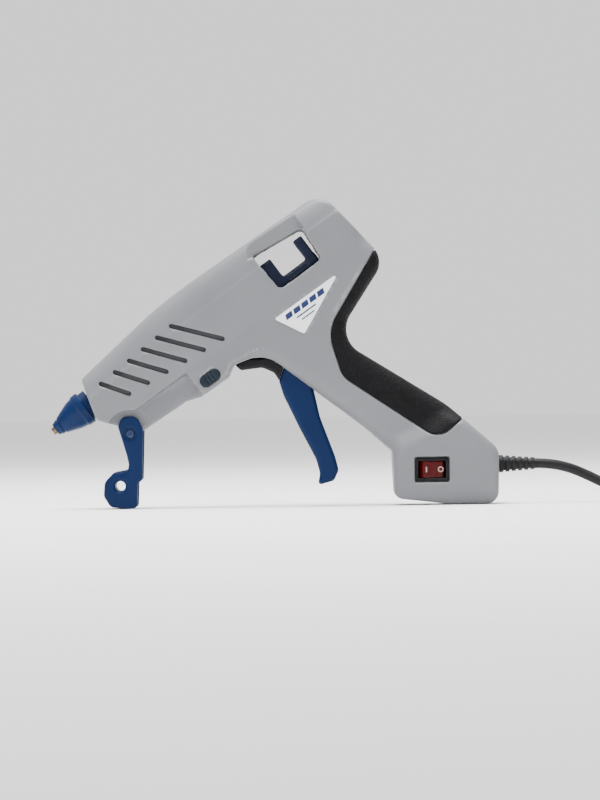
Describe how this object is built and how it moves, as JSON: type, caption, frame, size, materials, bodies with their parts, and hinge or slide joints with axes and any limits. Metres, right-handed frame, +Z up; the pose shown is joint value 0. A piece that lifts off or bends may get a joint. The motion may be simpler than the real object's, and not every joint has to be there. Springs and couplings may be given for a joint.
{
  "type": "glue gun",
  "caption": "Corded hot-melt glue gun with a slanted barrel, side feed window, long trigger, fold-down stand, soft-grip handle with a rocker switch in its foot, and a mains lead in a tied hank.",
  "frame": {"origin": "on the surface that the gun stands on, under the middle of the gun without its lead, in the plane where the two shells meet", "axes": "+X from the nozzle towards the back of the handle, +Y towards the right-hand shell (the switch is on the -Y side), +Z up"},
  "size_m": [0.5272, 0.0679, 0.1956],
  "materials": {
    "housing_grey": "fine satin moulded ABS",
    "grip_black": "stippled soft overmould",
    "badge_white": "gloss",
    "brass": "turned",
    "royal_blue": "satin moulded nylon",
    "steel": "zinc plated",
    "cast_aluminium": "die cast",
    "heater_film": "polyimide film",
    "silicone_black": "matt",
    "fuse_ceramic": "ceramic",
    "carriage_navy": "satin moulded nylon",
    "black_plastic": "satin",
    "button_grey": "satin",
    "rocker_red": "translucent red",
    "cream_plastic": "matt",
    "wire_brown": "insulation",
    "cord_black": "matt PVC",
    "tie_grey": "woven hook-and-loop strap",
    "plug_black": "satin PVC",
    "pin_nickel": "nickel plated"
  },
  "bodies": {
    "housing": {"barrel_left": "housing_grey", "barrel_right": "housing_grey", "handle_left": "housing_grey", "handle_right": "housing_grey", "foot_left": "housing_grey", "foot_right": "housing_grey", "grip_left": "grip_black", "grip_right": "grip_black", "side_badge": "badge_white", "nozzle": "brass", "nozzle_sleeve": "royal_blue", "valve_spring": "steel", "heating_chamber": "cast_aluminium", "ptc_heater": "heater_film", "heater_clip": "steel", "stick_guide_sleeve": "silicone_black", "rear_inlet_bush": "silicone_black", "thermal_fuse": "fuse_ceramic", "carriage_spring": "steel", "trigger_pivot_pin": "steel", "stand_pivot_pin": "royal_blue", "latch_spring": "steel", "switch_body": "black_plastic", "terminal_block": "cream_plastic", "inner_wires": "wire_brown", "cord_clamp": "black_plastic", "cord_clamp_screws": "steel", "housing_screws": "steel", "strain_relief": "cord_black", "cord_lead": "cord_black", "cord_hank": "cord_black", "cord_tie": "tie_grey", "cord_tail": "cord_black", "plug_body": "plug_black", "plug_pins": "pin_nickel"},
    "trigger": {"trigger": "royal_blue", "trigger_shroud": "black_plastic"},
    "carriage": {"feed_carriage": "carriage_navy", "jaw_pin": "steel"},
    "jaw": {"clamp_jaw": "steel"},
    "stand": {"stand": "royal_blue"},
    "rocker": {"rocker": "rocker_red"},
    "latch": {"stand_latch_button": "button_grey"},
    "ball": {"check_ball": "steel"}
  },
  "joints": [
    {"name": "trigger_squeeze", "type": "hinge", "parent": "housing", "child": "trigger", "pos_m": [-0.00736, 0, 0.10313], "axis": [0, -1, 0], "range_deg": [0, 16], "stiffness_Nm_per_rad": 1.2, "springref_deg": -22.92},
    {"name": "carriage_feed", "type": "slide", "parent": "housing", "child": "carriage", "axis": [-0.807, 0, -0.5906], "range_m": [0, 0.0102], "deforming": ["carriage_spring"]},
    {"name": "jaw_tilt", "type": "hinge", "parent": "carriage", "child": "jaw", "pos_m": [-0.00849, 0, 0.13515], "axis": [0, -1, 0], "range_deg": [0, 6], "stiffness_Nm_per_rad": 0.02, "springref_deg": -5.73},
    {"name": "stand_fold", "type": "hinge", "parent": "housing", "child": "stand", "pos_m": [-0.0918, 0, 0.0475], "axis": [0, -1, 0], "range_deg": [0, 118]},
    {"name": "rocker_rock", "type": "hinge", "parent": "housing", "child": "rocker", "pos_m": [0.0999, -0.017, 0.0223], "axis": [0, 0, -1], "range_deg": [0, 18]},
    {"name": "latch_press", "type": "slide", "parent": "housing", "child": "latch", "axis": [0, 1, 0], "range_m": [0, 0.002], "stiffness_N_per_m": 300, "springref_m": -0.002, "deforming": ["latch_spring"]},
    {"name": "ball_lift", "type": "slide", "parent": "housing", "child": "ball", "axis": [-0.807, 0, -0.5906], "range_m": [0, 0.0015], "stiffness_N_per_m": 60, "springref_m": -0.002, "deforming": ["valve_spring"]}
  ],
  "couplings": [
    {"joint": "carriage_feed", "follows": "trigger_squeeze", "m_per_rad": 0.0361}
  ]
}
